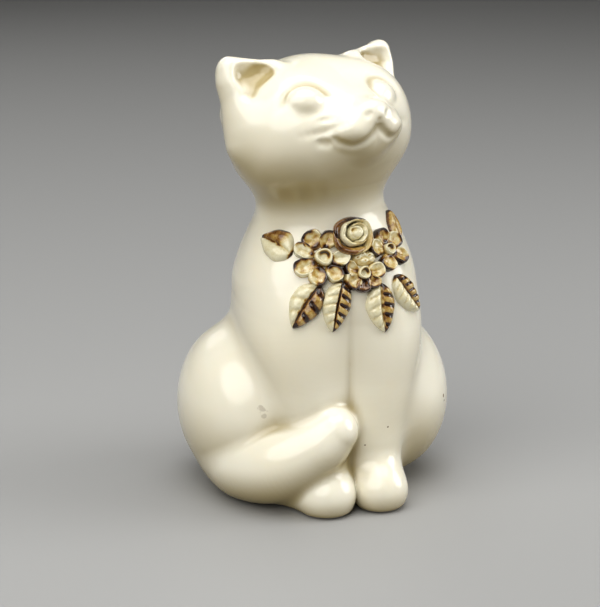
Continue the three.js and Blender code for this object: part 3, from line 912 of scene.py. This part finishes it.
class Glaze:
    """A node material, with short calls for the nodes that the glazes use."""

    def __init__(self, name):
        self.material = bpy.data.materials.new(name)
        self.material.use_nodes = True
        self.tree = self.material.node_tree
        self.shader = self.tree.nodes["Principled BSDF"]

    def node(self, kind, settings=None, **inputs):
        """A new node. Inputs go by name, or by number as _0, _1 and so on."""
        made = self.tree.nodes.new("ShaderNode" + kind)
        for key, value in (settings or {}).items():
            setattr(made, key, value)
        for key, value in inputs.items():
            self.put(made.inputs[int(key[1:]) if key[0] == "_" else key.replace("_", " ")], value)
        return made

    def put(self, socket, value):
        if isinstance(value, bpy.types.NodeSocket):
            self.tree.links.new(value, socket)
        else:
            socket.default_value = value

    def place(self):
        return self.node("TexCoord").outputs["Object"]

    def attribute(self, name):
        return self.node("Attribute", {"attribute_name": name}).outputs["Fac"]

    def noise(self, scale, detail, roughness=0.5):
        made = self.node("TexNoise", Vector=self.place(), Scale=scale, Detail=detail, Roughness=roughness)
        return made.outputs["Fac"]

    def math(self, operation, a, b, c=0.0):
        return self.node("Math", {"operation": operation}, _0=a, _1=b, _2=c).outputs[0]

    def ramp(self, value, low, high, out_low=0.0, out_high=1.0):
        made = self.node("MapRange", {"interpolation_type": "SMOOTHSTEP"}, _0=value, _1=low, _2=high,
                         _3=out_low, _4=out_high)
        return made.outputs[0]

    def mix(self, share, a, b):
        made = self.node("Mix", {"data_type": "RGBA"}, _0=share, _6=a, _7=b)
        return made.outputs[2]

    def bump(self, height, strength, distance, normal=None):
        made = self.node("Bump", Height=height, Strength=strength, Distance=distance)
        if normal:
            self.put(made.inputs["Normal"], normal)
        return made.outputs["Normal"]


# Ivory glaze, plain and in its warmer drifts, where it pools and where painted shade darkens it, the
# pinholes in it, and the bare foot.
IVORY = (0.87, 0.832, 0.70, 1)
IVORY_WARM = (0.83, 0.76, 0.56, 1)
POOLED_AND_SHADE = (0.345, 0.26, 0.085, 1)
PINHOLE = (0.16, 0.09, 0.04, 1)
BARE_CLAY = (0.72, 0.66, 0.55, 1)
# Roughness of the glazes. Above 0.26 light flakes show on the ivory, for a reason not found.
IVORY_GLOSS = (0.17, 0.26)
BROWN_GLOSS = (0.08, 0.26)

# Blemishes of this one piece: where each lies on the skin, its radius and its strength.
BLEMISHES = [
    ((-39.4, -32.3, 52.5), 2.2, 0.28),
    ((-38.6, -33.0, 49.2), 1.6, 0.26),
    ((-37.4, -34.2, 51.5), 1.2, 0.2),
    ((20.7, -45.9, 41.5), 0.5, 0.8),
    ((9.1, -45.4, 33.2), 0.5, 0.7),
    ((59.6, -20.2, 45.6), 1.3, 0.9),
    ((60.2, -19.2, 42.8), 0.9, 0.9),
]


def ivory_glaze():
    g = Glaze("ivory_glaze")
    drift = g.ramp(g.noise(22, 2), 0.35, 0.75)
    colour = g.mix(g.math("MULTIPLY", drift, 0.35), IVORY, IVORY_WARM)
    # Darker in creases, ear hollows and face grooves: partly glaze gathering there, partly painted shade.
    pool_and_shade_share = g.ramp(g.attribute("crease"), 0.1, 2.0)
    colour = g.mix(g.math("MULTIPLY", pool_and_shade_share, 0.85), colour, POOLED_AND_SHADE)
    # Painted shade: surfaces that face downwards are darkened towards the same tone.
    facing = g.node("SeparateXYZ", Vector=g.node("TexCoord").outputs["Normal"]).outputs["Z"]
    below = g.ramp(facing, -0.75, 0.3, 0.85, 0.0)
    colour = g.mix(below, colour, POOLED_AND_SHADE)
    cells = g.node("TexVoronoi", {"feature": "F1"}, Vector=g.place(), Scale=55.0)
    rare = g.ramp(cells.outputs["Color"], 0.9, 0.91)
    dot = g.math("MULTIPLY", g.ramp(cells.outputs["Distance"], 0.012, 0.026, 1, 0), rare)
    colour = g.mix(g.math("MULTIPLY", dot, 0.7), colour, PINHOLE)
    ragged = g.noise(420, 3)
    for at, radius, strength in BLEMISHES:
        away = g.node("VectorMath", {"operation": "DISTANCE"}, _0=g.place(), _1=Vector(at) * MM)
        away = away.outputs["Value"]
        reach = g.math("MULTIPLY_ADD", ragged, -2 * radius * MM, 2 * radius * MM)
        spot = g.math("MULTIPLY", g.ramp(g.math("SUBTRACT", reach, away), 0, 0.5 * radius * MM), strength)
        colour = g.mix(spot, colour, PINHOLE)
    bare = g.attribute("bare")
    g.put(g.shader.inputs["Base Color"], g.mix(bare, colour, BARE_CLAY))
    gloss = g.ramp(g.noise(90, 4), 0.3, 0.8, *IVORY_GLOSS)
    g.put(g.shader.inputs["Roughness"], g.math("MAXIMUM", gloss, g.math("MULTIPLY", bare, 0.8)))
    waves = g.bump(g.noise(38, 2), 0.25, 0.0012)
    g.put(g.shader.inputs["Normal"], g.bump(dot, -0.3, 0.0004, waves))
    g.shader.inputs["Coat Weight"].default_value = 0.35
    g.shader.inputs["Coat Roughness"].default_value = 0.1
    g.shader.inputs["Subsurface Weight"].default_value = 0.1
    g.shader.inputs["Subsurface Radius"].default_value = (0.004, 0.003, 0.0018)
    return g.material


# Iron glaze, from bare cream through honey to a nearly black brown where it lies thick.
IRON_TONES = [
    (0.0, (0.76, 0.71, 0.50, 1)),
    (0.25, (0.64, 0.54, 0.29, 1)),
    (0.45, (0.49, 0.33, 0.10, 1)),
    (0.68, (0.19, 0.08, 0.018, 1)),
    (0.92, (0.028, 0.011, 0.005, 1)),
]


def iron_glaze(name, shift=0.0):
    """Brown iron glaze that breaks to cream where the iron attribute is low."""
    g = Glaze(name)
    mottle = g.math("MULTIPLY_ADD", g.noise(900, 4, 0.6), 0.5, shift - 0.25)
    streak = g.math("MULTIPLY_ADD", g.noise(260, 3), 0.4, -0.2)
    amount = g.math("ADD", g.math("ADD", g.attribute("iron"), mottle), streak)
    ramp = g.node("ValToRGB", Fac=amount)
    stops = ramp.color_ramp.elements
    for place, colour in IRON_TONES[2:]:
        stops.new(place)
    for stop, (place, colour) in zip(stops, IRON_TONES):
        stop.position = place
        stop.color = colour
    g.put(g.shader.inputs["Base Color"], ramp.outputs["Color"])
    g.put(g.shader.inputs["Roughness"], g.ramp(g.noise(500, 4), 0.3, 0.8, *BROWN_GLOSS))
    fine = g.bump(g.noise(1400, 4), 0.25, 0.0002)
    g.put(g.shader.inputs["Normal"], g.bump(g.noise(420, 3), 0.4, 0.0006, fine))
    g.shader.inputs["Coat Weight"].default_value = 0.6
    g.shader.inputs["Coat Roughness"].default_value = 0.1
    return g.material


# ---------------------------------------------------------------- stage

FLOOR_HALF = 3.0
FLOOR_GREY = (0.36, 0.36, 0.355, 1)
FLOOR_ROUGHNESS = 0.6


def make_stage():
    mesh = bpy.data.meshes.new("floor")
    corners = [(x * FLOOR_HALF, y * FLOOR_HALF, 0) for x, y in ((-1, -1), (1, -1), (1, 1), (-1, 1))]
    mesh.from_pydata(corners, [], [(0, 1, 2, 3)])
    g = Glaze("floor_paper")
    g.put(g.shader.inputs["Base Color"], FLOOR_GREY)
    g.put(g.shader.inputs["Roughness"], FLOOR_ROUGHNESS)
    mesh.materials.append(g.material)
    floor = bpy.data.objects.new("floor", mesh)
    bpy.context.scene.collection.objects.link(floor)


LIGHTS_AIM = Vector((0, 0, 120)) * MM
WORLD_COLOUR = (0.8, 0.78, 0.72, 1)
WORLD_STRENGTH = 0.05


def area_light(name, place, size, power, colour=(1, 1, 1)):
    """A round or oval softbox that faces the figurine. Place and size are in metres, power in watts."""
    data = bpy.data.lights.new(name, "AREA")
    data.shape = "ELLIPSE"
    data.size, data.size_y = size
    data.energy = power
    data.color = colour
    light = bpy.data.objects.new(name, data)
    bpy.context.scene.collection.objects.link(light)
    light.location = place
    light.rotation_mode = "QUATERNION"
    light.rotation_quaternion = (LIGHTS_AIM - light.location).to_track_quat("-Z", "Y")


def make_lights():
    area_light("key_softbox", (-1.0, -0.85, 1.25), (2.3, 2.1), 26.5, (1, 0.99, 0.965))
    area_light("top_softbox", (0.15, -0.15, 1.5), (1.5, 1.5), 14)
    area_light("side_softbox", (1.5, -0.45, 0.7), (1.1, 1.2), 13)
    area_light("back_softbox", (-0.3, 1.5, 1.0), (1.6, 0.8), 3)
    world = bpy.data.worlds.new("studio")
    world.use_nodes = True
    background = world.node_tree.nodes["Background"]
    background.inputs["Color"].default_value = WORLD_COLOUR
    background.inputs["Strength"].default_value = WORLD_STRENGTH
    bpy.context.scene.world = world


make_camera()
make_stage()
make_lights()
make_body(ivory_glaze())
BROWN_GLAZE = iron_glaze("brown_glaze")
CREAM_GLAZE = iron_glaze("cream_glaze", -0.06)
make_leaves(BROWN_GLAZE)
make_flowers(BROWN_GLAZE, CREAM_GLAZE)
make_rose(BROWN_GLAZE, CREAM_GLAZE)
BLOSSOM = pat(blossom_form, 60, 16)
add_clay("filler_blossom", Seat.under("filler_blossom"), BLOSSOM, CREAM_GLAZE, "cream_glaze")

bpy.context.scene.view_settings.view_transform = "Standard"
bpy.context.scene.view_settings.look = "Medium High Contrast"
